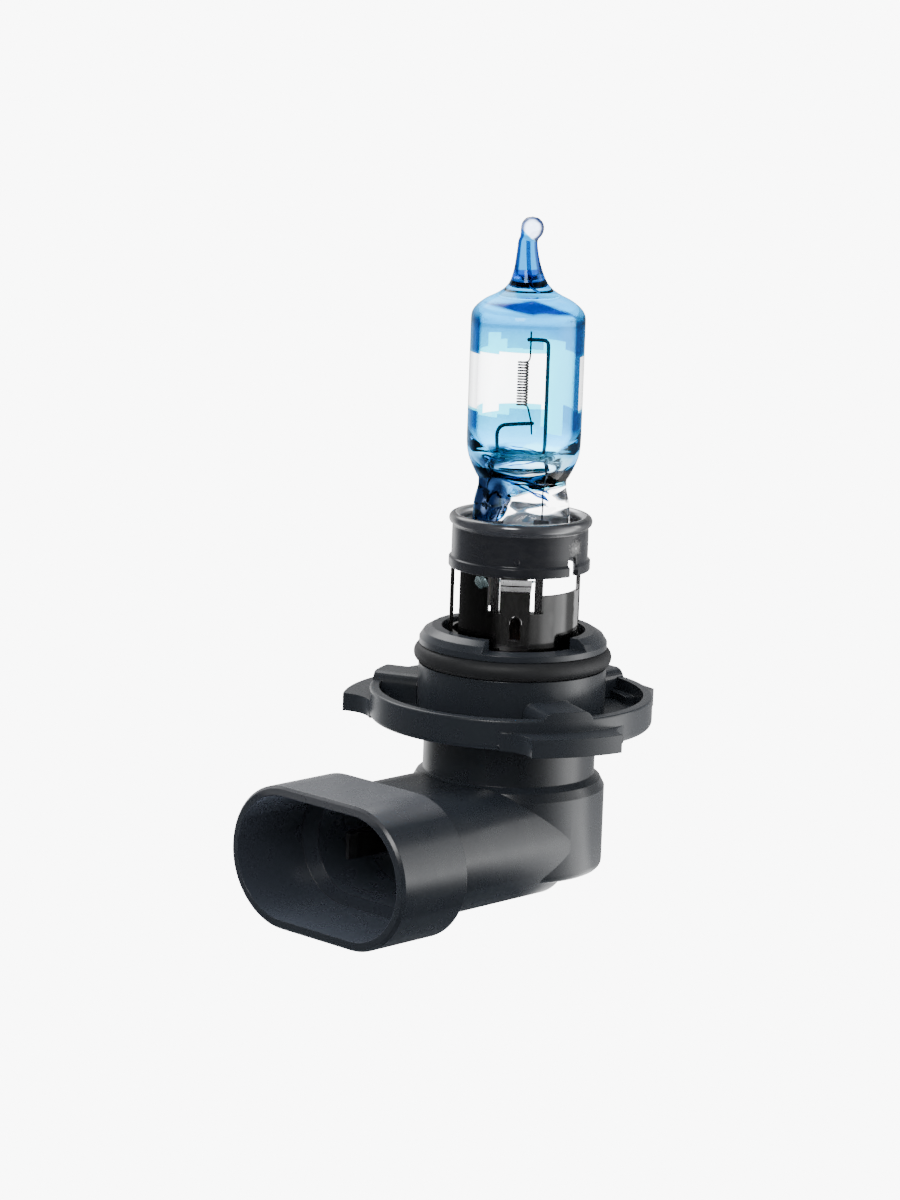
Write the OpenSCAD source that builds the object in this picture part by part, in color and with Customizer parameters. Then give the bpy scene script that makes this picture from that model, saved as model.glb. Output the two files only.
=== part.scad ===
// Right-angle halogen headlight bulb with a 20 mm three-lug cap and a two-blade connector.
// Origin: on the cap axis, at the reference plane (the tops of the three bearing ridges).
// +Z points to the glass tip and the connector mouth faces -Y.

/* [Capsule] */
// Outer diameter of the quartz capsule
glass_d = 11.84; // [11.6:0.02:12]
// Wall thickness of the capsule
glass_wall = 1.05; // [0.9:0.05:1.15]
// Height of the filament centre above the reference plane
light_centre = 31.5; // [31.3:0.05:31.7]
// Length of the filament coil
coil_len = 4.7; // [4.2:0.1:5]
// Outer diameter of the filament coil
coil_d = 1.2; // [1:0.05:1.3]
// Number of filament turns
coil_turns = 19; // [15:1:21]
// Width of the pinch seal at its foot
pinch_w = 10.2; // [9.6:0.1:10.4]

/* [Metal holder] */
// Outer diameter of the retaining ring's wall
ring_d = 14.2; // [14:0.05:14.3]
// Height of the retaining ring from its foot to the bottom of its rolled rim
ring_h = 4.4; // [4:0.1:4.8]
// Outer diameter of the steel sleeve
sleeve_d = 13.5; // [13.4:0.05:13.6]
// Sheet thickness of the sleeve
sleeve_t = 0.4; // [0.3:0.05:0.4]
// Turn of the capsule and holder about the cap axis
holder_turn = 44; // [40:1:48]
// Sideways offset of capsule and ring, set when the filament is centred
align_x = 0.34; // [0:0.02:0.4]
// Offset of capsule and ring across the pinch
align_y = 0.3; // [0.2:0.02:0.3]

/* [Cap] */
// Diameter of the collar that pilots in the lamp housing
collar_d = 19.6; // [19.5:0.02:19.7]
// Height of the collar's top face above the reference plane
collar_top = 5.9; // [5.8:0.05:6.1]
// Bore of the collar around the steel sleeve
bore_d = 15; // [14.9:0.05:15.1]
// Outer diameter of the sealing ring
seal_d = 20.64; // [20.5:0.02:20.8]
// Outer diameter of the dish flange
dish_d = 29.6; // [29:0.1:30]
// Radius over the locking lugs
lug_r = 17.65; // [17.4:0.05:17.9]
// Half of the angle that a lug spans
lug_half_angle = 16.4; // [15:0.1:17]

/* [Connector] */
// Distance from the cap axis to the mouth of the shroud
mouth_y = 27.8; // [27:0.1:28.5]
// Width of the shroud
shroud_w = 25; // [24.6:0.1:25.4]
// Height of the shroud
shroud_h = 14.9; // [14.6:0.1:15]
// Wall thickness of the shroud
shroud_wall = 1; // [0.9:0.05:1.1]
// Depth of the connector axis below the reference plane
connector_z = 15.5; // [15.4:0.05:15.6]
// Spacing of the two blades
blade_pitch = 9; // [8.6:0.1:9.2]
// Height of a blade
blade_h = 2.8; // [2.6:0.1:2.9]

/* [Hidden] */
$fn = 96;
eps = 0.05;
fit_gap = 0.04;

plastic = [0.05, 0.05, 0.06];
steel = [0.45, 0.46, 0.48];
molybdenum = [0.35, 0.35, 0.37];

// Cap levels and radii
collar_r = collar_d / 2;
bore_r = bore_d / 2;
seal_r = seal_d / 2;
dish_r = dish_d / 2;
lip_z = [4.1, 4.7];
groove_z = 2.05;
seal_section_r = (lip_z[0] - groove_z) / 2 - 0.03;
groove_r = seal_r - 2 * seal_section_r - 0.01;
rim_z = -0.8;
rim_w = 1;
dish_floor_z = -2.9;
dish_z = -3.98;
lug_top_z = -2.1;
neck_r = 9;
neck_z = -9.15;
elbow_r = 10.12;
elbow_z = -19.3;
bore_floor_z = -1;

// The lugs and their bearing ridges stand either side of the connector and opposite it
lug_angles = [-23, 90, 203];
lug_foot_angle = 28;
lug_fillet_r = 3.77;
ridge_w = 5.6;
ridge_edge_r = 1.25;
notch_angle = -31;
notch_half_angle = 35;
notch_z = 4.75;

// Connector body behind the shroud
shroud_len = 9.3;
step_y = mouth_y - shroud_len;
duct_w = 20.2;
duct_h = 12.3;
duct_end_y = 0.2;
socket_floor_y = 11.5;
inner_w = 18.2;
inner_h = 10.3;

// Terminals and the risers that carry the current up to the capsule
blade_t = 0.8;
blade_tip_y = 18.9;
blade_taper = 1;
riser_t = 0.5;
riser_w = 0.88;
riser_top_z = 11.7;
riser_top_x = [-2.05, 2.48];
riser_top_y = -0.2;
carrier_z = [-connector_z - 1.95, -connector_z + 1.95];
carrier_w = 11.6;
carrier_end_y = 3.4;
tower_r = 3.9;

// Metal holder
sleeve_r = sleeve_d / 2;
band_z = 5.6;
slot_z = 8.55;
holder_top_z = 12.2;
tongue_r = 7.2;
tongue_half_angle = 12;
ring_z = 12.25;
ring_r = ring_d / 2;
ring_t = 0.45;
roll_r = 0.6;
roll_c = [ring_r - 0.25, ring_z + ring_h + roll_r];
clip_t = 0.35;
clip_z = 12.95;
clip_top_z = 16.7;
clip_open_x = 4.55;

// Capsule
glass_r = glass_d / 2;
chamber_r = glass_r - glass_wall;
pinch_foot_z = 13.4;
pinch_web = 2.4;
pinch_rib_r = 1.7;
support_x = [-2.8, 2.18];
support_r = 0.2;
lead_r = 0.3;
foil_z = [13.9, 17.3];
wire_r = 0.075;
coil_r = coil_d / 2 - wire_r;
coil_z = light_centre - coil_len / 2;

// Points of an arc about c, from angle a0 to a1 in n steps
function arc(c, r, a0, a1, n) = [for (i = [0:n]) c + r * [cos(a0 + (a1 - a0) * i / n), sin(a0 + (a1 - a0) * i / n)]];

// A point of the turned holder frame, in the frame of the part
function turned(p) = [p[0] * cos(holder_turn) - p[1] * sin(holder_turn),
    p[0] * sin(holder_turn) + p[1] * cos(holder_turn)];

// Places a child in the holder frame, whose -Y side carries the front tongue
module holder_frame() {
    rotate([0, 0, holder_turn]) children();
}

// Places a child in the capsule frame: the holder frame after the filament has been centred
module capsule_frame() {
    holder_frame() translate([align_x, align_y, 0]) children();
}

// Curved plate about the Z axis
module plate(mid, half, r_out, t, z0, z1) {
    rotate([0, 0, mid - half])
        rotate_extrude(angle = 2 * half)
            translate([r_out - t, z0]) square([t, z1 - z0]);
}

// Straight bar of width w and height h between two plan points
module bar(p, q, w, z0, h) {
    along = q - p;
    translate([p[0], p[1], z0])
        rotate([0, 0, atan2(along[1], along[0])])
            translate([0, -w / 2, 0]) cube([norm(along), w, h]);
}

// Oblong prism along +Z, with a chamfer at its foot and its head
module oblong(w, h, len, foot = 0.05, head = 0.05) {
    arm = (w - h) / 2;
    side = [[h / 2 - foot, 0], [h / 2, foot], [h / 2, len - head], [h / 2 - head, len]];
    for (s = [-1, 1])
        translate([s * arm, 0, 0])
            rotate_extrude() polygon(concat([[0, 0]], side, [[0, len]]));
    translate([-arm, 0, 0])
        rotate([90, 0, 90])
            linear_extrude(2 * arm)
                polygon(concat(side, [for (i = [3:-1:0]) [-side[i][0], side[i][1]]]));
}

// Turns +Z to the connector's outward direction, starting at distance y from the cap axis
module to_mouth(y) {
    translate([0, -y, -connector_z]) rotate([90, 0, 0]) children();
}

// ---- Cap ----

cap_profile = concat(
    [[0, collar_top], [8.5, collar_top], [9.35, collar_top - 0.5], [collar_r, lip_z[1]], [collar_r, lip_z[0]]],
    [[groove_r, lip_z[0]], [groove_r, groove_z], [collar_r, groove_z], [collar_r, dish_floor_z]],
    [[dish_r - rim_w, dish_floor_z], [dish_r - rim_w, rim_z]],
    arc([dish_r - 0.25, rim_z - 0.25], 0.25, 90, 0, 3),
    arc([dish_r - 0.6, dish_z + 0.6], 0.6, 0, -90, 5),
    [[neck_r, dish_z], [neck_r, neck_z], [neck_r + 0.65, neck_z - 0.55], [elbow_r, neck_z - 1.45]],
    arc([elbow_r - 0.8, elbow_z + 0.8], 0.8, 0, -90, 5),
    [[0, elbow_z]]);

module bearing_ridge() {
    start = collar_r - 0.3;
    flank = ridge_w / 2 - ridge_edge_r;
    edge = arc([flank, -ridge_edge_r], ridge_edge_r, 90, 0, 6);
    intersection() {
        translate([start, 0, 0])
            rotate([90, 0, 90])
                linear_extrude(dish_r - start + 1)
                    polygon(concat(edge, [[ridge_w / 2, dish_floor_z - eps], [-ridge_w / 2, dish_floor_z - eps]],
                        [for (i = [6:-1:0]) [-edge[i][0], edge[i][1]]]));
        translate([0, 0, dish_floor_z - 1]) cylinder(h = 5, r = dish_r - 0.03);
    }
}

module locking_lug() {
    reach = 1.2 * lug_r;
    height = lug_top_z - dish_z;
    translate([0, 0, dish_z])
        difference() {
            intersection() {
                cylinder(h = height, r = lug_r);
                linear_extrude(height)
                    polygon([[0, 0], reach * [cos(lug_foot_angle), -sin(lug_foot_angle)],
                        reach * [1.1, 0], reach * [cos(lug_foot_angle), sin(lug_foot_angle)]]);
            }
            for (s = [-1, 1])
                translate([(dish_r + lug_fillet_r) * cos(lug_foot_angle),
                    s * (dish_r + lug_fillet_r) * sin(lug_foot_angle), -1])
                    cylinder(h = height + 2, r = lug_fillet_r);
            translate([0, 0, -1]) cylinder(h = height + 2, r = dish_r - 2);
        }
}

module carrier_shape(grow) {
    translate([-carrier_w / 2 - grow, -socket_floor_y - grow, carrier_z[0] - grow])
        cube([carrier_w + 2 * grow, socket_floor_y + carrier_end_y + 2 * grow, carrier_z[1] - carrier_z[0] + 2 * grow]);
    translate([0, 0, carrier_z[1] - 1])
        cylinder(h = bore_floor_z - carrier_z[1] + 1 + grow, r = tower_r + grow);
}

module base_housing() {
    color(plastic)
        difference() {
            union() {
                rotate_extrude() polygon(cap_profile);
                for (a = lug_angles) {
                    rotate([0, 0, a]) bearing_ridge();
                    rotate([0, 0, a]) locking_lug();
                }
                to_mouth(-duct_end_y) oblong(duct_w, duct_h, step_y + duct_end_y + 0.5, 1.2, eps);
                to_mouth(step_y) oblong(shroud_w, shroud_h, shroud_len, 0.35, 0.3);
            }
            translate([0, 0, bore_floor_z]) cylinder(h = collar_top - bore_floor_z + 1, r = bore_r);
            plate(notch_angle, notch_half_angle, collar_r + 1, collar_r + 1.2 - bore_r, notch_z, collar_top + 1);
            to_mouth(step_y + 0.2) oblong(shroud_w - 2 * shroud_wall, shroud_h - 2 * shroud_wall, shroud_len + 1);
            to_mouth(socket_floor_y) oblong(inner_w, inner_h, mouth_y - socket_floor_y);
            carrier_shape(fit_gap);
        }
}

module sealing_ring() {
    color("black")
        rotate_extrude()
            translate([seal_r - seal_section_r, (lip_z[0] + groove_z) / 2]) circle(r = seal_section_r, $fn = 48);
}

// ---- Terminals ----

// Left is side -1 and right is side 1
function riser_index(side) = side < 0 ? 0 : 1;
function riser_foot(side) = turned([riser_top_x[riser_index(side)], riser_top_y]);
function bend_y(side) = side < 0 ? -5.5 : -1.5;

module terminal_shape(side, grow) {
    x = side * blade_pitch / 2;
    turn = [x, bend_y(side)];
    z0 = -connector_z - blade_h / 2 - grow;
    h = blade_h + 2 * grow;
    w = blade_t + 2 * grow;
    bar([x, -blade_tip_y + blade_taper], turn, w, z0, h);
    bar(turn, riser_foot(side), w, z0, h);
    translate([turn[0], turn[1], z0]) cylinder(h = h, d = w);
    translate([riser_foot(side)[0], riser_foot(side)[1], z0]) cylinder(h = h, d = riser_w + 0.5 + 2 * grow);
}

module terminal(side) {
    x = side * blade_pitch / 2;
    tip = blade_t / 4;
    color([0.78, 0.76, 0.7])
        difference() {
            union() {
                terminal_shape(side, 0);
                translate([x, -blade_tip_y + blade_taper, -connector_z - blade_h / 2])
                    linear_extrude(blade_h)
                        polygon([[-blade_t / 2, 0], [-tip, -blade_taper], [tip, -blade_taper], [blade_t / 2, 0]]);
            }
            riser_shape(side, fit_gap);
        }
}

module riser_shape(side, grow) {
    foot_z = -connector_z - blade_h / 2 - grow;
    holder_frame()
        translate([riser_top_x[riser_index(side)] - riser_w / 2 - grow, riser_top_y - riser_t / 2 - grow, foot_z])
            cube([riser_w + 2 * grow, riser_t + 2 * grow, riser_top_z - foot_z + grow]);
}

module left_terminal() {
    terminal(-1);
}

module right_terminal() {
    terminal(1);
}

module left_riser() {
    color([0.6, 0.6, 0.6]) riser_shape(-1, 0);
}

module right_riser() {
    color([0.6, 0.6, 0.6]) riser_shape(1, 0);
}

module terminal_carrier() {
    color([0.12, 0.12, 0.13])
        difference() {
            carrier_shape(0);
            for (side = [-1, 1]) {
                terminal_shape(side, fit_gap);
                riser_shape(side, fit_gap);
            }
        }
}

module potting_seal() {
    color([0.25, 0.1, 0.05])
        difference() {
            translate([0, 0, bore_floor_z + fit_gap])
                cylinder(h = 2.2, r = sleeve_r - sleeve_t - fit_gap);
            for (side = [-1, 1])
                riser_shape(side, fit_gap);
        }
}

// ---- Metal holder ----

module tongue() {
    profile = [[6.7, 0], [tongue_r, 0], [tongue_r, 11], [tongue_r + 0.45, 12], [tongue_r + 0.45, holder_top_z],
        [tongue_r + 0.1, holder_top_z], [6.7, 11.2]];
    rotate([0, 0, -90 - tongue_half_angle])
        rotate_extrude(angle = 2 * tongue_half_angle) polygon(profile);
}

module arch_slot() {
    width = 1.15;
    arch_z = 8.3 - width / 2;
    translate([0, -tongue_r - 1, arch_z]) rotate([-90, 0, 0]) cylinder(h = 2.5, d = width);
    translate([-width / 2, -tongue_r - 1, band_z + 0.2]) cube([width, 2.5, arch_z - band_z - 0.2]);
}

// Opening in the sleeve between two angles, from z0 to the top
module sleeve_cut(a0, a1, z0) {
    plate((a0 + a1) / 2, (a1 - a0) / 2, sleeve_r + 1, 2, z0, holder_top_z + 1);
}

module holder_sleeve() {
    foot_z = bore_floor_z + fit_gap;
    in_r = sleeve_r - sleeve_t;
    foot_r = bore_r - 0.1;
    color(steel)
        holder_frame()
            difference() {
                union() {
                    difference() {
                        rotate_extrude()
                            polygon([[in_r, foot_z], [foot_r, foot_z], [foot_r, foot_z + sleeve_t],
                                [sleeve_r, foot_z + sleeve_t], [sleeve_r, holder_top_z], [in_r, holder_top_z]]);
                        sleeve_cut(-115.4, -64.6, slot_z);
                        sleeve_cut(-66, -13, 10.4);
                        sleeve_cut(-14, -1, band_z);
                        sleeve_cut(7, 174, band_z);
                        sleeve_cut(186, 211, band_z);
                    }
                    tongue();
                    rotate([0, 0, 180]) tongue();
                }
                arch_slot();
                rotate([0, 0, 180]) arch_slot();
            }
}

module retaining_ring() {
    hem_r = ring_r + 0.27;
    hem_h = 1.05;
    color([0.03, 0.03, 0.03])
        translate([turned([align_x, align_y])[0], turned([align_x, align_y])[1], 0])
            difference() {
                union() {
                    rotate_extrude()
                        polygon([[ring_r - ring_t, ring_z], [hem_r, ring_z], [hem_r, ring_z + hem_h],
                            [ring_r, ring_z + hem_h], [ring_r, roll_c[1]], [ring_r - ring_t, roll_c[1]]]);
                    rotate_extrude() translate(roll_c) circle(r = roll_r, $fn = 48);
                }
                plate(3.4, 5.3, hem_r + 1, 3, ring_z - 1, ring_z + 2.05);
            }
}

module clip_plate() {
    color(steel)
        capsule_frame()
            difference() {
                translate([0, 0, clip_z - clip_t]) cylinder(h = clip_t - fit_gap, r = ring_r - ring_t - 0.05);
                translate([-pinch_w / 2 - 0.1, -pinch_rib_r - 0.1, clip_z - 2])
                    cube([pinch_w + 0.2, 2 * pinch_rib_r + 0.2, 4]);
                translate([clip_open_x, -ring_r, clip_z - 2]) cube([ring_r, 2 * ring_r, 4]);
            }
}

module pinch_clip() {
    in_w = pinch_w + 0.1;
    in_d = 2 * pinch_rib_r + 0.1;
    color(steel)
        capsule_frame()
            difference() {
                translate([-in_w / 2 - clip_t, -in_d / 2 - clip_t, clip_z])
                    cube([in_w + 2 * clip_t, in_d + 2 * clip_t, clip_top_z - clip_z]);
                translate([-in_w / 2, -in_d / 2, clip_z + clip_t]) cube([in_w, in_d, 10]);
                translate([-in_w / 2 + 1.3, -in_d / 2, clip_z - 1]) cube([in_w - 2.6, in_d, 10]);
                translate([-in_w / 2 + 2, -in_d, clip_z + 1.6]) cube([in_w - 4, 2 * in_d, 10]);
                translate([clip_open_x - 0.5, -in_d, clip_z - 1]) cube([5, 2 * in_d, 1.95]);
            }
}

// ---- Capsule ----

shoulder_z = 38.3;
stem_z = 44;
stem_top_z = 46.9;
tip_r = 1.16;
tip_z = 47.5;
bottom_z = 25;
chamber_floor_z = 22.83;
pinch_neck_z = 21.2;

outer_profile = concat(
    arc([glass_r - 4.6, bottom_z], 4.6, -90, 0, 12),
    arc([glass_r - 1.5, shoulder_z], 1.5, 0, 60, 6),
    arc([5.1, stem_z], 3.8, 240, 180, 10),
    [[1.02, stem_top_z - 0.5], [0.7, stem_top_z], [0, stem_top_z], [0, bottom_z - 4.6]]);

chamber_profile = concat(
    [[0, chamber_floor_z]],
    arc([chamber_r - 1.45, chamber_floor_z + 1.45], 1.45, -90, 0, 6),
    arc([chamber_r - 1, shoulder_z - 0.3], 1, 0, 70, 5),
    [[0.9, 39.7], [0.3, 40.6], [0.3, 45.6], [0, 45.9]]);

module pinch_body() {
    half = pinch_w / 2;
    neck = half - 0.6;
    rotate([90, 0, 0])
        translate([0, 0, -pinch_web / 2])
            linear_extrude(pinch_web)
                polygon([[-half, pinch_foot_z], [half, pinch_foot_z], [half, 18.4], [neck, pinch_neck_z],
                    [neck, 22.6], [-neck, 22.6], [-neck, pinch_neck_z], [-half, 18.4]]);
    for (s = [-1, 1])
        translate([s * (half - pinch_rib_r - 0.05), 0, pinch_foot_z]) cylinder(h = 6, r = pinch_rib_r);
}

module glass_envelope() {
    color([0.35, 0.65, 0.9, 0.5])
        capsule_frame()
            difference() {
                union() {
                    rotate_extrude() polygon(outer_profile);
                    translate([0.3, 0, tip_z]) sphere(r = tip_r, $fn = 48);
                    pinch_body();
                }
                rotate_extrude() polygon(chamber_profile);
                for (i = [0, 1]) {
                    translate([support_x[i], 0, foil_z[1] - 1])
                        cylinder(h = chamber_floor_z + 2 - foil_z[1], r = support_r + fit_gap / 2, $fn = 24);
                    translate([support_x[i], 0.08, pinch_foot_z - 1])
                        cylinder(h = foil_z[0] - pinch_foot_z + 2.04, r = lead_r + fit_gap / 2, $fn = 24);
                    foil_at(i, fit_gap / 2);
                }
            }
}

// Sealing foil, welded to the back of the support wire above it and of the outer lead below it
module foil_at(i, grow) {
    w = 1.8;
    t = 0.07;
    translate([support_x[i] - w / 2 - grow, -0.26 - t - grow, foil_z[0] - grow])
        cube([w + 2 * grow, t + 2 * grow, foil_z[1] - foil_z[0] + 2 * grow]);
}

module long_side_foil() {
    color(molybdenum) capsule_frame() foil_at(1, 0);
}

module short_side_foil() {
    color(molybdenum) capsule_frame() foil_at(0, 0);
}

// Outer lead, from the foil down beside its riser
module outer_lead(i) {
    low_z = 8;
    translate([support_x[i], 0.08, low_z]) cylinder(h = foil_z[0] + 1 - low_z, r = lead_r, $fn = 24);
}

module long_side_lead() {
    color([0.5, 0.5, 0.5]) capsule_frame() outer_lead(1);
}

module short_side_lead() {
    color([0.5, 0.5, 0.5]) capsule_frame() outer_lead(0);
}

// Wire that rises from the pinch, bends over with radius r and crosses to x_end
module support_wire(x, z_bend, r, x_end) {
    toward = x_end > x ? 1 : -1;
    low_z = foil_z[1] - 0.96;
    translate([x, 0, low_z]) cylinder(h = z_bend - low_z, r = support_r, $fn = 24);
    translate([x + toward * r, 0, z_bend])
        rotate([90, 0, 0])
            rotate([0, 0, toward > 0 ? 90 : 0])
                rotate_extrude(angle = 90) translate([r, 0]) circle(r = support_r, $fn = 24);
    translate([x + toward * r, 0, z_bend + r])
        rotate([0, toward * 90, 0]) cylinder(h = abs(x_end - x) - r, r = support_r, $fn = 24);
}

module long_support() {
    color(molybdenum) capsule_frame() support_wire(support_x[1], 35.5, 0.5, -0.05);
}

module short_support() {
    color(molybdenum) capsule_frame() support_wire(support_x[0], 26.4, 0.9, 1);
}

// ---- Filament ----

tail_x = 0.68;
tail_top_z = 37.25;
tail_low_z = 26.15;
turn_steps = 10;
tail_steps = 6;

// Wire from the lower tail, through the coil, to the upper tail; ends of the coil face +X of the holder frame
function tail_up(i) = [coil_r + (tail_x - coil_r) * i / tail_steps, 0,
    light_centre + coil_len / 2 + (tail_top_z - light_centre - coil_len / 2) * pow(i / tail_steps, 1.5)];
function tail_down(i) = [coil_r + (tail_x + 0.4 - coil_r) * i / tail_steps, 0,
    coil_z - (coil_z - tail_low_z) * pow(i / tail_steps, 1.5)];
function coil_point(i) = [coil_r * cos(360 * i / turn_steps), coil_r * sin(360 * i / turn_steps),
    coil_z + coil_len * i / (turn_steps * coil_turns)];
wire_path = concat(
    [for (i = [tail_steps:-1:1]) tail_down(i)],
    [for (i = [0:turn_steps * coil_turns]) coil_point(i)],
    [for (i = [1:tail_steps]) tail_up(i)]);

// Closed tube of radius r swept along a path
module swept_wire(path, r, sides) {
    last = len(path) - 1;
    function way(i) = path[min(i + 1, last)] - path[max(i - 1, 0)];
    function unit(v) = v / norm(v);
    function across(i) = unit(cross(way(i), abs(way(i)[2]) > 0.9 * norm(way(i)) ? [0, 1, 0] : [0, 0, 1]));
    function up(i) = unit(cross(across(i), way(i)));
    points = [for (i = [0:last]) for (k = [0:sides - 1])
        path[i] + r * (cos(360 * k / sides) * across(i) + sin(360 * k / sides) * up(i))];
    walls = [for (i = [0:last - 1]) for (k = [0:sides - 1])
        [i * sides + k, i * sides + (k + 1) % sides, (i + 1) * sides + (k + 1) % sides, (i + 1) * sides + k]];
    ends = [[for (k = [sides - 1:-1:0]) k], [for (k = [0:sides - 1]) last * sides + k]];
    polyhedron(points, concat(walls, ends), convexity = 6);
}

module filament() {
    color([0.5, 0.5, 0.52]) holder_frame() swept_wire(wire_path, wire_r, 6);
}

base_housing();
sealing_ring();
terminal_carrier();
potting_seal();
left_terminal();
right_terminal();
left_riser();
right_riser();
holder_sleeve();
retaining_ring();
clip_plate();
pinch_clip();
glass_envelope();
filament();
long_support();
short_support();
long_side_foil();
short_side_foil();
long_side_lead();
short_side_lead();
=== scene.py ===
"""Right-angle halogen headlight bulb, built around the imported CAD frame.

Lengths are in millimetres until a mesh, a bump or the stage needs metres.
"""
import math

import bpy
import numpy as np
from mathutils import Matrix, Vector

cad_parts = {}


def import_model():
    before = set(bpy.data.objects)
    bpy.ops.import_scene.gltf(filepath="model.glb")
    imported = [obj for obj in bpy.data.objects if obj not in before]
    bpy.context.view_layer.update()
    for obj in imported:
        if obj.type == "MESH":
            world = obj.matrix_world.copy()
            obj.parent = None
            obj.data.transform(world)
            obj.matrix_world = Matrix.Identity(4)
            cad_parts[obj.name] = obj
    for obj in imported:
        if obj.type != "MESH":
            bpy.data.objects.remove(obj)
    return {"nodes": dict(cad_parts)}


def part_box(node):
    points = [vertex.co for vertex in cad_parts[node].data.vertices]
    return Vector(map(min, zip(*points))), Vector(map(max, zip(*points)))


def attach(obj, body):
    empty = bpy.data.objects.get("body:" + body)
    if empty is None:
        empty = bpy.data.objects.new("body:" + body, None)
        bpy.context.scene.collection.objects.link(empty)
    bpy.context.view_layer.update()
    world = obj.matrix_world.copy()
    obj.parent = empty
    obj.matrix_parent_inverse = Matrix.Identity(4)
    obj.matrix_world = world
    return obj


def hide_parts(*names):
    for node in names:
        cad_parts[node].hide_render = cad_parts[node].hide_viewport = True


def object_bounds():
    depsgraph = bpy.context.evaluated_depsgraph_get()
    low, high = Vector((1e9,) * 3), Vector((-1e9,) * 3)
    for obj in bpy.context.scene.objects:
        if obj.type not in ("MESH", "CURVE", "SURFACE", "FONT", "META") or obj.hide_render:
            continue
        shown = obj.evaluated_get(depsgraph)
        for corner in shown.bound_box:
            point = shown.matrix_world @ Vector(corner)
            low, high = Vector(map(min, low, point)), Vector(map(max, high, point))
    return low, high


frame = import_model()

MM = 0.001
CAD_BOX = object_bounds()
SCENE = bpy.context.scene
ROOT = "root"

# ---------------------------------------------------------------- places taken from the frame
HOLDER_TURN = math.radians(44)  # the capsule and its holder, about the cap's axis


def box_mm(node):
    low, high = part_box(node)
    return np.array(low) / MM, np.array(high) / MM


RING_LOW, RING_HIGH = box_mm("retaining_ring")
GLASS_LOW, GLASS_HIGH = box_mm("glass_envelope")
SLEEVE_LOW, SLEEVE_HIGH = box_mm("holder_sleeve")
CAP_AXIS = np.zeros(2)
CAPSULE_AXIS = ((RING_LOW + RING_HIGH) / 2)[:2]

# the black ring: outer radius, sheet, hem at its foot, roll at its top
RING_R = 7.1
RING_T = 0.45
HEM_R = 7.37
ROLL_R = 0.6
RING_FOOT = RING_LOW[2]
RING_TOP = RING_HIGH[2]


def placed(points, axis=CAPSULE_AXIS):
    """Points of the turned holder frame, moved to the row frame and still in millimetres."""
    p = np.asarray(points, float)
    c, s = math.cos(HOLDER_TURN), math.sin(HOLDER_TURN)
    x = p[..., 0] * c - p[..., 1] * s + axis[0]
    y = p[..., 0] * s + p[..., 1] * c + axis[1]
    return np.stack([x, y, p[..., 2]], -1)


# ---------------------------------------------------------------- mesh helpers
def make_piece(name, points, faces, materials, node, sharp, indices=None):
    """A mesh piece in the row frame that rides on the root and stands for a CAD node."""
    mesh = bpy.data.meshes.new(name)
    mesh.from_pydata((np.asarray(points, float) * MM).tolist(), [], faces)
    for m in materials:
        mesh.materials.append(m)
    if indices is not None:
        mesh.polygons.foreach_set("material_index", indices)
    mesh.shade_smooth()
    mesh.set_sharp_from_angle(angle=math.radians(sharp))
    piece = bpy.data.objects.new(name, mesh)
    SCENE.collection.objects.link(piece)
    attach(piece, ROOT)
    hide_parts(node)
    return piece


def ring_faces(rows, columns, closed_rows=False):
    """Quads between consecutive rows of a grid whose columns wrap round."""
    last = rows if closed_rows else rows - 1
    return [
        (r * columns + c, r * columns + (c + 1) % columns,
         (r + 1) % rows * columns + (c + 1) % columns, (r + 1) % rows * columns + c)
        for r in range(last) for c in range(columns)
    ]


def revolved(profile, columns):
    """Points and outward faces of a closed profile of (radius, height) turned about the Z axis."""
    profile = np.asarray(profile, float)
    turn = np.linspace(0, 2 * math.pi, columns, endpoint=False)
    points = np.stack([
        np.outer(profile[:, 0], np.cos(turn)), np.outer(profile[:, 0], np.sin(turn)),
        np.repeat(profile[:, 1:2], columns, 1)], -1).reshape(-1, 3)
    return points, [tuple(reversed(f)) for f in ring_faces(len(profile), columns, True)][::-1]


def arc(cx, cy, radius, start, end, steps):
    """Points of an arc in a profile, angles in degrees."""
    return [(cx + radius * math.cos(math.radians(a)), cy + radius * math.sin(math.radians(a)))
            for a in np.linspace(start, end, steps + 1)]


def smooth_path(points, step):
    """A Catmull-Rom line through the points, sampled about every step."""
    p = np.asarray(points, float)
    p = np.vstack([2 * p[0] - p[1], p, 2 * p[-1] - p[-2]])
    made = []
    for a, b, c, d in zip(p, p[1:], p[2:], p[3:]):
        for t in np.linspace(0, 1, max(2, int(np.linalg.norm(c - b) / step)), endpoint=False):
            made.append(0.5 * (2 * b + (c - a) * t + (2 * a - 5 * b + 4 * c - d) * t * t
                               + (3 * b - a - 3 * c + d) * t ** 3))
    made.append(p[-2])
    return np.array(made)


def tube(path, radii, sides):
    """Points and faces of a closed tube along a path, with frames carried along it."""
    path = np.asarray(path, float)
    radii = np.broadcast_to(radii, len(path))
    way = np.gradient(path, axis=0)
    way /= np.linalg.norm(way, axis=1)[:, None]
    across = np.cross(way[0], [0, 0, 1] if abs(way[0][2]) < 0.9 else [0, 1, 0])
    turn = np.linspace(0, 2 * math.pi, sides, endpoint=False)
    points = []
    for centre, w, r in zip(path, way, radii):
        across = across - w * (across @ w)
        across /= np.linalg.norm(across)
        up = np.cross(w, across)
        points += [centre + r * (math.cos(t) * across + math.sin(t) * up) for t in turn]
    faces = ring_faces(len(path), sides)
    last = (len(path) - 1) * sides
    faces = [tuple(reversed(range(sides)))] + faces + [tuple(range(last, last + sides))]
    return np.array(points), faces


def rounded_wire(path, radius, sides):
    """A tube whose two ends are cut with a small round edge."""
    radii = np.full(len(path), float(radius))
    for i, share in enumerate((0.55, 0.88)):
        radii[i] *= share
        radii[-1 - i] *= share
    return tube(path, radii, sides)


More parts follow.
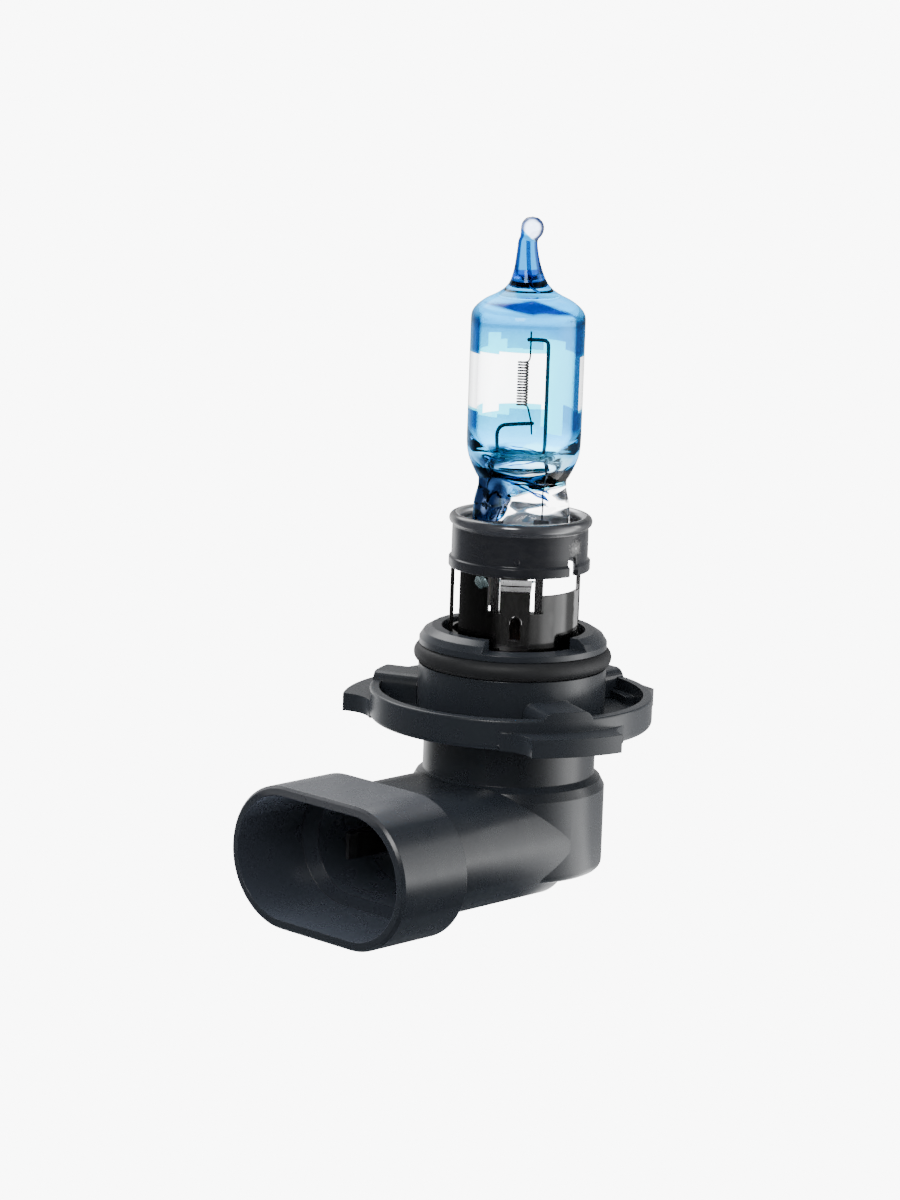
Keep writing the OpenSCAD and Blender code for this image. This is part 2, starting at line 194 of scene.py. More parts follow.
def boolean(piece, cutters):
    """Cuts other objects from a piece and removes them."""
    for cutter in cutters:
        cut = piece.modifiers.new("cut", "BOOLEAN")
        cut.operation, cut.solver, cut.object = "DIFFERENCE", "EXACT", cutter
    bpy.context.view_layer.update()
    made = bpy.data.meshes.new_from_object(piece.evaluated_get(bpy.context.evaluated_depsgraph_get()))
    piece.modifiers.clear()
    piece.data = made
    for cutter in cutters:
        bpy.data.objects.remove(cutter)
    return piece


def make_cutter(points, faces):
    mesh = bpy.data.meshes.new("cutter")
    mesh.from_pydata((np.array(points) * MM).tolist(), [], faces)
    mesh.validate()
    cutter = bpy.data.objects.new("cutter", mesh)
    SCENE.collection.objects.link(cutter)
    return cutter


def radial_cutter(outline, axis, angle, near, far):
    """Prism along a radius at an angle, between two depths; its outline is in (sideways, height)."""
    c, s = math.cos(math.radians(angle)), math.sin(math.radians(angle))
    points = [(axis[0] + depth * c - u * s, axis[1] + depth * s + u * c, v)
              for depth in (near, far) for u, v in outline]
    n = len(outline)
    faces = [tuple(reversed(range(n))), tuple(range(n, 2 * n))]
    faces += [(i, (i + 1) % n, n + (i + 1) % n, n + i) for i in range(n)]
    return make_cutter(points, faces)


# ---------------------------------------------------------------- material helpers
class Nodes:
    """A short way to write the node tree of a material, or of the world."""

    def __init__(self, name, world=False):
        self.owner = (bpy.data.worlds if world else bpy.data.materials).new(name)
        self.owner.use_nodes = True
        self.tree = self.owner.node_tree
        self.tree.nodes.clear()
        self.output = self.add("ShaderNodeOutputWorld" if world else "ShaderNodeOutputMaterial")

    def add(self, kind, inputs=None, **settings):
        node = self.tree.nodes.new(kind)
        for key, value in settings.items():
            setattr(node, key, value)
        for key, value in (inputs or {}).items():
            if isinstance(value, bpy.types.NodeSocket):
                self.tree.links.new(value, node.inputs[key])
            else:
                node.inputs[key].default_value = value
        return node

    def math(self, operation, *values, clamp=False):
        node = self.add("ShaderNodeMath", operation=operation, use_clamp=clamp)
        for socket, value in zip(node.inputs, values):
            if isinstance(value, bpy.types.NodeSocket):
                self.tree.links.new(value, socket)
            else:
                socket.default_value = value
        return node.outputs[0]

    def ramp(self, value, stops, interpolation="LINEAR"):
        node = self.add("ShaderNodeValToRGB", {"Fac": value})
        node.color_ramp.interpolation = interpolation
        elements = node.color_ramp.elements
        while len(elements) < len(stops):
            elements.new(0.5)
        for element, (position, colour) in zip(elements, stops):
            element.position = position
        for element, (position, colour) in zip(elements, stops):
            colour = (colour,) * 3 if isinstance(colour, (int, float)) else colour
            element.color = (*colour, 1)
        return node.outputs["Color"]

    def mix(self, factor, a, b):
        node = self.add("ShaderNodeMix", data_type="RGBA")
        for key, value in ((0, factor), (6, a), (7, b)):  # 0 is the factor, 6 and 7 the two colours
            if isinstance(value, bpy.types.NodeSocket):
                self.tree.links.new(value, node.inputs[key])
            else:
                node.inputs[key].default_value = value if key == 0 else (*value, 1)
        return node.outputs[2]

    def product(self, *factors):
        result = factors[0]
        for factor in factors[1:]:
            result = self.math("MULTIPLY", result, factor)
        return result

    def opposite(self, share):
        return self.math("SUBTRACT", 1.0, share)

    def rising(self, value, start, slope):
        """0 up to a start, then up to 1 at a slope."""
        return self.math("MULTIPLY", self.math("SUBTRACT", value, start), slope, clamp=True)

    def falling(self, value, end, slope):
        """1 well below an end, then down to 0 there at a slope."""
        return self.math("MULTIPLY", self.math("SUBTRACT", end, value), slope, clamp=True)

    def vector(self, operation, *values):
        """Vector arithmetic; a distance, length or dot product comes back as a number."""
        node = self.add("ShaderNodeVectorMath", dict(enumerate(values)), operation=operation)
        return node.outputs["Value" if operation in ("DISTANCE", "LENGTH", "DOT_PRODUCT") else "Vector"]

    def place(self):
        """Position in the row frame, in millimetres."""
        here = self.add("ShaderNodeTexCoord").outputs["Object"]
        return self.vector("MULTIPLY", here, (1 / MM, 1 / MM, 1 / MM))

    def axes(self):
        """X, Y and Z of the position in the row frame, in millimetres."""
        return self.add("ShaderNodeSeparateXYZ", {0: self.place()}).outputs[:3]

    def noise(self, scale, detail=3.0, roughness=0.5, stretch=(1, 1, 1)):
        spread = self.vector("MULTIPLY", self.place(), stretch)
        return self.add("ShaderNodeTexNoise", {"Vector": spread, "Scale": scale, "Detail": detail,
                                               "Roughness": roughness}).outputs["Fac"]

    def bump(self, height, strength, distance, normal=None):
        inputs = {"Height": height, "Strength": strength, "Distance": distance * MM}
        if normal is not None:
            inputs["Normal"] = normal
        return self.add("ShaderNodeBump", inputs).outputs["Normal"]

    def soft_edges(self, radius, samples):
        """The surface's normal, as if its edges had a small round."""
        return self.add("ShaderNodeBevel", {"Radius": radius * MM}, samples=samples).outputs[0]

    def done(self, shader):
        self.tree.links.new(shader, self.output.inputs["Surface"])
        return self.owner


def sides(n, where, turn):
    """How far a place or direction lies to the right and to the front, for axes turned by an angle."""
    right = n.vector("DOT_PRODUCT", where, (math.cos(turn), math.sin(turn), 0))
    toward = n.vector("DOT_PRODUCT", where, (math.sin(turn), -math.cos(turn), 0))
    return right, toward


def around(n, axis):
    """Angle round an upright axis as a share of a turn: 0.5 on the side of the holder's front tongue."""
    here_x, here_y, _ = n.axes()
    x = n.math("SUBTRACT", here_x, float(axis[0]))
    y = n.math("SUBTRACT", here_y, float(axis[1]))
    front = HOLDER_TURN - math.pi / 2
    across = n.math("SUBTRACT", n.product(y, math.cos(front)), n.product(x, math.sin(front)))
    along = n.math("ADD", n.product(x, math.cos(front)), n.product(y, math.sin(front)))
    return n.math("MULTIPLY_ADD", n.math("ARCTAN2", across, along), 1 / (2 * math.pi), 0.5)


# ---------------------------------------------------------------- plastic, rubber and metal
def plastic(name, base, shade, rough, grain=0.25, paint=None):
    """Moulded plastic: fine mould grain, faint flow variation and soft edges."""
    n = Nodes(name)
    flow = n.noise(0.16, 4, 0.55)
    speck = n.noise(2.6, 2, 0.5)
    colour = n.mix(n.ramp(n.math("MULTIPLY_ADD", speck, 0.1, flow), [(0.35, 0.0), (0.8, 1.0)]), base, shade)
    if paint:
        colour = paint(n, colour)
    sunk = n.bump(n.noise(0.16, 1), 0.15, 0.2, n.soft_edges(0.12, 6))
    low, high = rough
    body = n.add("ShaderNodeBsdfPrincipled", {
        "Base Color": colour, "Roughness": n.ramp(n.noise(0.5, 5, 0.6), [(0.25, low), (0.8, high)]),
        "Normal": n.bump(speck, grain, 0.03, sunk), "IOR": 1.47})
    return n.done(body.outputs[0])


SHROUD_Y = -18.6        # where the duct widens into the shroud
SOCKET_FLOOR_Y = -11.0
SOCKET_Z = -15.5        # middle of the socket
SHEEN_Z = -9.6         # a painted sheen lies on the shroud's top above this height
SHROUD_FLAT, SHROUD_ROUND = 5.05, 6.5  # half the flat part, and the radius of the round ends
DUCT_FLAT, DUCT_ROUND = 3.95, 5.3


def housing_painted_light(n, colour):
    """Painted light: a paler inside of the socket as painted fill light, and a paler top of the shroud as a
    painted sheen.
    """
    x, y, z = n.axes()
    shroud = n.math("LESS_THAN", y, SHROUD_Y)
    flat = n.math("MULTIPLY_ADD", shroud, SHROUD_FLAT - DUCT_FLAT, DUCT_FLAT)
    reach = n.math("MULTIPLY_ADD", shroud, SHROUD_ROUND ** 2 - DUCT_ROUND ** 2, DUCT_ROUND ** 2)
    out = n.math("MAXIMUM", n.math("SUBTRACT", n.math("ABSOLUTE", x), flat), 0.0)
    up = n.math("SUBTRACT", z, SOCKET_Z)
    # inside the socket the colour is painted paler, as fill light where shade falls
    inside = n.math("LESS_THAN", n.math("ADD", n.product(out, out), n.product(up, up)), reach)
    inside = n.product(inside, n.falling(y, SOCKET_FLOOR_Y, 2))
    # painted sheen: the shroud's top is painted paler, standing in for the reflection of the room behind
    painted_sheen = n.product(n.falling(y, SHROUD_Y + 0.2, 4), n.rising(z, SHEEN_Z, 1.5), n.opposite(inside))
    return n.mix(painted_sheen, n.mix(inside, colour, (0.022, 0.026, 0.034)), (0.035, 0.037, 0.042))


def metal(name, base, shade, rough, grain_stretch=(1, 1, 0.05), grain=0.12):
    """Rolled or drawn metal: directional grain in roughness and bump, and slow colour variation."""
    n = Nodes(name)
    lines = n.noise(9, 3, 0.6, grain_stretch)
    low, high = rough
    body = n.add("ShaderNodeBsdfPrincipled", {
        "Base Color": n.mix(n.ramp(n.noise(0.35, 3, 0.5), [(0.3, 0.0), (0.7, 1.0)]), base, shade),
        "Metallic": 1.0, "Roughness": n.ramp(lines, [(0.3, low), (0.7, high)]),
        "Normal": n.bump(lines, grain, 0.02, n.soft_edges(0.04, 4))})
    return n.done(body.outputs[0])


FOLD_Z = 10.9      # the tongues lean outwards from here
CREASE_Z = 11.62
# painted reflections and shade: brightness of the sleeve against the angle round it
SLEEVE_PAINTED_REFLECTIONS = [
    (0.0, 0.5), (0.24, 0.4), (0.28, 0.05), (0.44, 0.035), (0.468, 0.2), (0.53, 0.21), (0.555, 0.12),
    (0.575, 0.09), (0.6, 0.04), (0.625, 0.05), (0.64, 0.075), (0.65, 0.05), (0.675, 0.045), (0.684, 0.9),
    (0.73, 0.7), (1.0, 0.5)]
TONGUE_SHARES = [(0.0, 1.0), (0.04, 0.0), (0.46, 1.0), (0.54, 0.0), (0.96, 1.0)]


def sleeve_material():
    """Thin rolled steel with painted reflections: upright bands of painted light and shade round it, a
    painted highlight on the tongues' folds and a painted dark line in their crease.
    """
    n = Nodes("stainless_sleeve")
    z = n.axes()[2]
    waver = n.product(n.math("SUBTRACT", n.noise(0.8, 2), 0.5), 0.012)
    share = n.math("ADD", around(n, CAP_AXIS), waver)
    # painted highlight on the tongues' folds, and a painted shade line in their crease
    fold = n.product(n.rising(z, FOLD_Z, 6), n.ramp(share, TONGUE_SHARES, "CONSTANT"))
    painted_crease_shade = n.product(n.math("COMPARE", z, CREASE_Z, 0.07), fold)
    # the painted reflection bands round the sleeve, with the folds painted bright
    colour = n.mix(fold, n.ramp(share, SLEEVE_PAINTED_REFLECTIONS), (0.85, 0.86, 0.87))
    lines = n.noise(9, 3, 0.6, (1, 1, 0.05))
    body = n.add("ShaderNodeBsdfPrincipled", {
        "Base Color": n.mix(painted_crease_shade, colour, (0.06, 0.06, 0.065)), "Metallic": 1.0,
        "Roughness": n.ramp(n.math("MULTIPLY_ADD", fold, 0.5, lines),
                            [(0.3, 0.08), (0.7, 0.16), (1.0, 0.4)]),
        "Normal": n.bump(lines, 0.02, 0.02, n.bump(n.noise(0.25, 1), 0.15, 0.1))})
    return n.done(body.outputs[0])


def wire(name, base, shade, index):
    """Drawn and heat-darkened wire: dull, with faint drawing lines."""
    n = Nodes(name)
    lines = n.noise(8, 3, 0.6, (1, 1, 0.1))
    body = n.add("ShaderNodeBsdfPrincipled", {
        "Base Color": n.mix(lines, base, shade), "Metallic": 0.1, "IOR": index,
        "Roughness": n.ramp(n.noise(2), [(0.3, 0.45), (0.7, 0.7)]), "Normal": n.bump(lines, 0.05, 0.02)})
    return n.done(body.outputs[0])


def rubber_material():
    """Smooth black rubber with a faint bloom."""
    n = Nodes("seal_rubber")
    speck = n.noise(7, 3, 0.65)
    bloom = n.ramp(n.noise(0.6, 4), [(0.35, 0.0), (0.75, 1.0)])
    body = n.add("ShaderNodeBsdfPrincipled", {
        "Base Color": n.mix(bloom, (0.006, 0.0065, 0.0075), (0.01, 0.0105, 0.012)),
        "Roughness": n.ramp(speck, [(0.3, 0.5), (0.7, 0.62)]), "IOR": 1.38,
        "Normal": n.bump(speck, 0.2, 0.03)})
    return n.done(body.outputs[0])


def on_ring(angle, height):
    """A place on the black ring's outside, at an angle in degrees."""
    a = math.radians(angle)
    return (CAPSULE_AXIS[0] + RING_R * math.cos(a), CAPSULE_AXIS[1] + RING_R * math.sin(a), height)


def ring_finish(n, rub):
    """Black, with rub marks, and beside the notch a small burnt patch with a bright speck in it."""
    colour = n.mix(rub, (0.0065, 0.007, 0.0085), (0.011, 0.0115, 0.013))
    away = n.vector("DISTANCE", n.place(), on_ring(7.4, 15.1))
    ragged = n.math("ADD", n.math("DIVIDE", away, 2.2), n.product(n.noise(2.2, 5, 0.7), 0.9))
    burnt = n.product(n.ramp(ragged, [(0.62, 1.0), (0.92, 0.0)]), 0.8)
    colour = n.mix(burnt, colour, (0.2, 0.2, 0.2))
    return n.mix(n.math("LESS_THAN", away, 0.12), colour, (0.45, 0.45, 0.45))


def ring_material():
    """Black semi-gloss finish outside, bare metal inside, a polished roll on top and one weld dimple."""
    n = Nodes("black_ring")
    rub = n.ramp(n.noise(0.7, 2, 0.5, (1, 1, 2)), [(0.45, 0.0), (0.75, 1.0)])
    offset = n.vector("SUBTRACT", n.place(), (*CAPSULE_AXIS, 0))
    radius = n.vector("LENGTH", n.vector("MULTIPLY", offset, (1, 1, 0)))
    bare = n.falling(radius, n.math("MULTIPLY_ADD", n.noise(1.2, 3), 0.3, RING_R - 0.4), 8)
    gloss = n.math("ADD", n.product(n.noise(3, 2, 0.5, (1, 1, 0.4)), 0.5), n.product(rub, 0.3))
    gloss = n.ramp(gloss, [(0.1, 0.13), (0.8, 0.22)])
    roll = n.math("GREATER_THAN", n.axes()[2], float(RING_TOP) - 1.35)
    dimple = n.vector("DISTANCE", n.place(), on_ring(-49.3, 13.94))
    dimple = n.ramp(dimple, [(0.0, 0.6), (0.16, 0.5), (0.26, 1.0), (0.36, 0.0)])
    body = n.add("ShaderNodeBsdfPrincipled", {
        "Base Color": n.mix(bare, ring_finish(n, rub), (0.55, 0.56, 0.58)), "Metallic": bare,
        "Roughness": n.math("MULTIPLY_ADD", bare, 0.15, gloss),
        "IOR": n.math("MULTIPLY_ADD", roll, 0.55, 1.33),
        "Normal": n.bump(dimple, 1.0, 0.12, n.bump(n.noise(0.3, 2), 0.1, 0.1))})
    return n.done(body.outputs[0])


HOUSING_PLASTIC = plastic("housing_plastic", (0.004, 0.005, 0.0068), (0.006, 0.0074, 0.0095), (0.24, 0.34),
                          0.004, housing_painted_light)
CARRIER_PLASTIC = plastic("carrier_plastic", (0.012, 0.012, 0.013), (0.022, 0.022, 0.023), (0.5, 0.65))
POTTING_RESIN = plastic("potting_resin", (0.035, 0.014, 0.008), (0.06, 0.025, 0.012), (0.12, 0.25), 0.05)
SLEEVE_STEEL = sleeve_material()
STEEL = metal("stainless_steel", (0.36, 0.37, 0.39), (0.5, 0.51, 0.53), (0.07, 0.15), grain=0.02)
TERMINAL_METAL = metal("plated_terminal", (0.035, 0.037, 0.041), (0.06, 0.063, 0.068), (0.3, 0.45),
                       (1, 0.05, 1))
RISER_METAL = metal("plated_riser", (0.3, 0.3, 0.31), (0.42, 0.42, 0.43), (0.2, 0.35))
FOIL_METAL = metal("molybdenum_foil", (0.06, 0.062, 0.07), (0.1, 0.102, 0.11), (0.35, 0.5))
WELD_METAL = metal("weld_metal", (0.06, 0.14, 0.17), (0.3, 0.37, 0.38), (0.15, 0.4), (1, 1, 1), grain=0.6)
LEAD_METAL = metal("nickel_lead", (0.36, 0.35, 0.33), (0.5, 0.48, 0.45), (0.3, 0.45))
MOLYBDENUM = wire("molybdenum", (0.004, 0.012, 0.022), (0.01, 0.026, 0.042), 1.3)
TUNGSTEN = wire("tungsten", (0.002, 0.002, 0.0025), (0.005, 0.005, 0.006), 1.1)
SEAL_RUBBER = rubber_material()
BLACK_RING = ring_material()

# ---------------------------------------------------------------- quartz and its blue film
QUARTZ_INDEX = 1.46
FLOOR_BELOW, DOME_ABOVE = 24.6, 37.8  # beyond these heights the chamber's wall bends light less
SHOULDER_Z = 38.3                     # where the outside starts to draw in
STEM_Z, STEM_BAND_TOP = 41.4, 42.9
SEAL_TOP = 23.0
BEAD_Z = 45.6

# The film's two edges: height against the angle round the capsule, 0.5 on the side of the front tongue.
FILM_BASE, FILM_SPAN = 24.0, 16.0
UPPER_EDGE = [(0.0, 34.2), (0.01, 34.3), (0.06, 35.3), (0.084, 36.2), (0.144, 34.7), (0.346, 35.0),
              (0.416, 35.3), (0.547, 25.0), (0.683, 34.6), (0.855, 35.4), (0.945, 34.2)]
LOWER_EDGE = [(0.0, 28.6), (0.085, 27.85), (0.165, 28.9), (0.346, 28.6), (0.416, 29.0), (0.453, 29.7),
              (0.547, 39.0), (0.683, 28.9), (0.855, 25.5), (0.925, 26.2), (0.945, 28.6)]


def ripple(n):
    """The faint waves of a blown surface."""
    return n.bump(n.noise(0.3, 1, 0.5), 0.04, 0.1)


def clear_quartz():
    """The chamber's wall and, darker, the fine hole in the stem; its dome and floor bend light less."""
    n = Nodes("clear_quartz")
    z = n.axes()[2]
    hole = n.rising(z, 39.7, 4)
    ends = n.math("MAXIMUM", n.rising(z, DOME_ABOVE, 1), n.falling(z, FLOOR_BELOW, 1))
    body = n.add("ShaderNodeBsdfGlass", {
        "Color": n.mix(hole, (0.99, 0.995, 1), (0.3, 0.42, 0.6)), "Roughness": 0.0,
        "IOR": n.math("MULTIPLY_ADD", ends, -0.26, QUARTZ_INDEX), "Normal": ripple(n)})
    return n.done(body.outputs[0])


def film_edge(n, share, steps):
    steps = [(angle, (height - FILM_BASE) / FILM_SPAN) for angle, height in steps]
    return n.math("MULTIPLY_ADD", n.ramp(share, steps, "CONSTANT"), FILM_SPAN, FILM_BASE)


def film_cover(n, side, z):
    """Where the film is: above and below the clear band, up to the bead and down to a slanting, wavy end."""
    share = around(n, CAPSULE_AXIS)
    above = n.rising(z, film_edge(n, share, UPPER_EDGE), 12)
    below = n.falling(z, film_edge(n, share, LOWER_EDGE), 12)
    tip = n.falling(z, n.math("MULTIPLY_ADD", side, -0.9, 46.9), 6)
    slant = n.math("MINIMUM", n.math("MULTIPLY_ADD", side, 1.6, 20.3), 21.6)
    slant = n.math("ADD", slant, n.product(n.noise(0.5, 2), 1.6))
    return n.product(n.math("MAXIMUM", above, below), tip, n.rising(z, slant, 1.5))


def chamber_blue(n, side, z, deep):
    """The film round the chamber: blotchy, thicker at the top and right, thin on shoulder and foot."""
    blotch = n.ramp(n.noise(0.45, 3, 0.55), [(0.25, 0.0), (0.8, 1.0)])
    thick = n.math("ADD", n.rising(z, 35.6, 0.4), n.rising(side, 2.2, 0.35), clamp=True)
    shoulder = n.product(n.rising(z, SHOULDER_Z, 0.9), n.falling(z, 41.6, 2))
    thin = n.math("ADD", shoulder, n.falling(z, 27.2, 0.6), clamp=True)
    blue = n.mix(blotch, (0.003, 0.42, 0.58), (0.009, 0.5, 0.64))
    blue = n.mix(thick, blue, (0.003, 0.33, 0.52))
    blue = n.mix(deep, blue, (0.002, 0.045, 0.17))
    blue = n.mix(thin, blue, (0.09, 0.64, 0.93))
    return n.mix(n.falling(z, 24.8, 1), blue, (0.34, 0.68, 0.92))


def shoulder_painted_shade(n, side, toward, z):
    """Painted shade: a lens-shaped deep-blue patch on the front of the shoulder, standing in for the
    chamber's dome seen through the glass; it sinks to the right.
    """
    right = n.math("MAXIMUM", side, 0.0)
    middle = n.math("SUBTRACT", 40.0, n.product(right, right, 0.036))
    away = n.math("ABSOLUTE", n.math("SUBTRACT", n.math("MULTIPLY_ADD", n.noise(0.4, 1), 0.3, z), middle))
    half = n.math("SUBTRACT", 0.8, n.product(n.math("ABSOLUTE", n.math("SUBTRACT", side, 0.7)), 0.14))
    return n.product(n.falling(away, half, 3.5), n.math("GREATER_THAN", toward, 0.0))


def stem_blue(n, blue, stem, z, steep):
    """The drawn stem: navy rims, and a deeper band just above the shoulder."""
    band = n.falling(z, STEM_BAND_TOP, 8)
    rim = n.ramp(steep, [(0.2, 0.0), (0.3, 1.0)])
    blue = n.mix(n.product(stem, band), blue, (0.004, 0.07, 0.28))
    return n.mix(n.product(stem, rim, n.opposite(band)), blue, (0.002, 0.035, 0.14))


def seal_streaks(n, side, z):
    """Navy streaks that run down to the right, where the film runs out over the pinch seal."""
    run = n.math("MULTIPLY_ADD", side, 0.5, n.math("SUBTRACT", z, 20.9))
    wavy = n.math("PINGPONG", n.math("MULTIPLY_ADD", n.noise(0.5, 1), 0.8, run), 0.45)
    reach = n.product(n.math("COMPARE", run, 0.35, 0.95), n.math("COMPARE", side, 0.6, 2.5))
    return n.product(n.rising(wavy, 0.27, 14), reach, n.math("LESS_THAN", z, 22.3))


def bare_colour(n, side, z, steep):
    """Clear quartz; the bead has a blue-grey outline, darker on the right and in a few spots on top."""
    bead = n.rising(z, BEAD_Z, 3)
    spots = n.product(n.ramp(n.noise(1.3, 2), [(0.52, 0.0), (0.6, 1.0)]), n.rising(z, 47.6, 1))
    dark = n.math("MAXIMUM", n.rising(side, 0.35, 2.5), spots)
    outline = n.mix(dark, (0.06, 0.09, 0.17), (0.014, 0.024, 0.06))
    clear = n.mix(bead, (0.985, 0.99, 0.995), (0.72, 0.78, 0.9))
    return n.mix(n.product(bead, n.ramp(steep, [(0.15, 0.0), (0.36, 1.0)])), clear, outline)


def coated_quartz():
    """The capsule's outside: quartz with the blue interference film, and a rippled pinch seal."""
    n = Nodes("coated_quartz")
    z = n.axes()[2]
    side, toward = sides(n, n.place(), HOLDER_TURN)
    steep = n.add("ShaderNodeLayerWeight", {"Blend": 0.5}).outputs["Facing"]
    # the film looks deeper where it is seen at a slant
    deep = n.ramp(steep, [(0.4, 0.0), (0.48, 1.0), (0.7, 0.9), (0.93, 0.1)])
    deep = n.product(deep, n.falling(z, 39.8, 2))
    stem = n.rising(z, STEM_Z, 2)
    streaks = seal_streaks(n, side, z)
    film = n.math("MAXIMUM", film_cover(n, side, z), streaks)
    left_lobe = n.product(n.falling(z, SEAL_TOP, 1), n.falling(side, -0.9, 1))

    blue = chamber_blue(n, side, z, deep)
    # painted shade on the front of the shoulder, for the dome seen through the glass
    blue = n.mix(shoulder_painted_shade(n, side, toward, z), blue, (0.001, 0.03, 0.17))
    blue = stem_blue(n, blue, stem, z, steep)
    blue = n.mix(streaks, blue, (0.01, 0.04, 0.15))
    blue = n.mix(left_lobe, blue, (0.03, 0.048, 0.095))
    # light mirrored at the surface has a paler blue than light that passes through it
    glint = n.mix(n.rising(z, SHOULDER_Z, 0.9), (0.5, 0.77, 0.98), (0.8, 0.93, 1.0))
    glint = n.mix(deep, glint, (0.2, 0.45, 0.85))
    glint = n.mix(stem, glint, (0.4, 0.68, 0.95))

    dents = n.product(n.noise(0.3, 0.6, 0.4, (1, 1, 1.9)), n.falling(z, SEAL_TOP, 0.6))
    wave = n.bump(dents, 0.9, 1.3, ripple(n))
    through = n.add("ShaderNodeBsdfRefraction", {
        "Color": n.mix(film, bare_colour(n, side, z, steep), blue), "Roughness": 0.0, "IOR": QUARTZ_INDEX,
        "Normal": wave})
    mirror = n.add("ShaderNodeBsdfGlossy", {
        "Color": n.mix(film, (1, 1, 1), glint), "Roughness": 0.0, "Normal": wave})
    mirrored = n.add("ShaderNodeFresnel", {"IOR": QUARTZ_INDEX, "Normal": wave}).outputs[0]
    body = n.add("ShaderNodeMixShader", {0: mirrored, 1: through.outputs[0], 2: mirror.outputs[0]})
    return n.done(body.outputs[0])


COATED_QUARTZ = coated_quartz()
CLEAR_QUARTZ = clear_quartz()

# ---------------------------------------------------------------- carried-over CAD nodes
for node_name, material in {
        "base_housing": HOUSING_PLASTIC, "sealing_ring": SEAL_RUBBER, "terminal_carrier": CARRIER_PLASTIC,
        "potting_seal": POTTING_RESIN, "left_terminal": TERMINAL_METAL, "right_terminal": TERMINAL_METAL,
        "left_riser": RISER_METAL, "right_riser": RISER_METAL, "clip_plate": STEEL, "pinch_clip": STEEL,
        "long_side_foil": FOIL_METAL, "short_side_foil": FOIL_METAL, "long_side_lead": LEAD_METAL,
        "short_side_lead": LEAD_METAL}.items():
    cad_node = frame["nodes"][node_name]
    cad_node.data.materials.clear()
    cad_node.data.materials.append(material)


# ---------------------------------------------------------------- capsule
GLASS_R = (GLASS_HIGH - GLASS_LOW)[0] / 2
CHAMBER_R = 5.02
FOOT_Z = GLASS_LOW[2]
TIP_Z = GLASS_HIGH[2]
COLUMNS = 96


def loft(rows):
    """Skin through rows of (z, half width, half depth, squareness, rib, shift of the axis, left lobe)."""
    turn = np.linspace(0, 2 * math.pi, COLUMNS, endpoint=False)
    cos, sin = np.cos(turn), np.sin(turn)
    points = []
    for z, half_w, half_d, square, rib, shift, lobe in rows:
        power = 1 - square
        x = half_w * np.sign(cos) * np.abs(cos) ** power
        y = half_d * np.sign(sin) * np.abs(sin) ** power
        t = np.clip((np.abs(x) / half_w - 0.5) / 0.24, 0, 1)
        y = y * (1 + rib * t * t * (3 - 2 * t)) * (1 + lobe * np.exp(-((x + 2.9) / 1.25) ** 2))
        points.append(np.stack([x + shift, y, np.full(COLUMNS, z)], 1))
    return np.vstack(points)


def spaced(rows, step):
    """More rows between the given ones, on a monotone curve through them."""
    rows = np.array(rows, float)
    z = rows[:, 0]
    slopes = np.diff(rows, axis=0) / np.diff(z)[:, None]
    before, after = slopes[:-1], slopes[1:]
    total = np.where(before + after == 0, 1, before + after)
    middle = np.where(before * after > 0, 2 * before * after / total, 0)
    tangents = np.vstack([slopes[:1], middle, slopes[-1:]])
    made = []
    for i, gap in enumerate(np.diff(z)):
        for t in np.linspace(0, 1, max(1, int(math.ceil(gap / step))), endpoint=False):
            made.append(rows[i] * (1 + 2 * t) * (1 - t) ** 2 + rows[i + 1] * t * t * (3 - 2 * t)
                        + gap * (tangents[i] * t * (1 - t) ** 2 + tangents[i + 1] * t * t * (t - 1)))
            made[-1][0] = z[i] + gap * t
    made.append(rows[-1])
    return np.array(made)


def round_row(z, radius, shift=0.0):
    return (z, radius, radius, 0, 0, shift, 0)


def oval_row(z, half_width, half_depth, squareness):
    return (z, half_width, half_depth, squareness, 0, 0, 0)


# the pinch seal: z, half width, half depth, squareness, rib, shift of the axis, left lobe
SEAL_ROWS = [
    (FOOT_Z, 5.08, 1.2, 0.6, 0.42, 0, 0), (14.6, 5.08, 1.2, 0.6, 0.42, 0, 0),
    (17.0, 5.02, 1.2, 0.6, 0.4, 0, 0.35), (18.0, 5.0, 1.2, 0.58, 0.3, 0, 0.8),
    (18.9, 4.96, 1.25, 0.55, 0.22, 0, 1.05), (19.5, 4.86, 1.35, 0.52, 0.16, 0, 1.05),
    (20.1, 4.7, 1.55, 0.46, 0.1, 0, 0.85), (20.8, 4.57, 1.95, 0.38, 0.05, 0, 0.5),
    (21.4, 4.56, 2.4, 0.28, 0.02, 0, 0.2)]
# where the seal opens out into the round chamber
NECK_ROWS = [
    oval_row(22.04, 4.88, 3.15, 0.2), oval_row(22.67, 5.2, 3.95, 0.13), oval_row(23.29, 5.47, 4.7, 0.08),
    oval_row(23.92, 5.7, 5.28, 0.04), oval_row(24.54, 5.83, 5.65, 0.01), oval_row(25.4, 5.9, 5.86, 0)]
SHOULDER_ROWS = [round_row(z, r) for z, r in [
    (26.6, GLASS_R), (38.0, GLASS_R), (38.5, 5.88), (38.9, 5.74), (39.25, 5.5), (39.5, 5.26)]]
STEM_ROWS = [round_row(z, r, shift) for z, r, shift in [
    (40.08, 4.5, -0.02), (40.7, 3.3, -0.05), (41.32, 2.42, -0.08), (41.93, 1.95, -0.12), (42.55, 1.68, -0.17),
    (43.17, 1.48, -0.22), (43.78, 1.33, -0.27), (45.0, 1.12, -0.34), (45.9, 1.02, -0.36), (46.3, 1.0, -0.3)]]
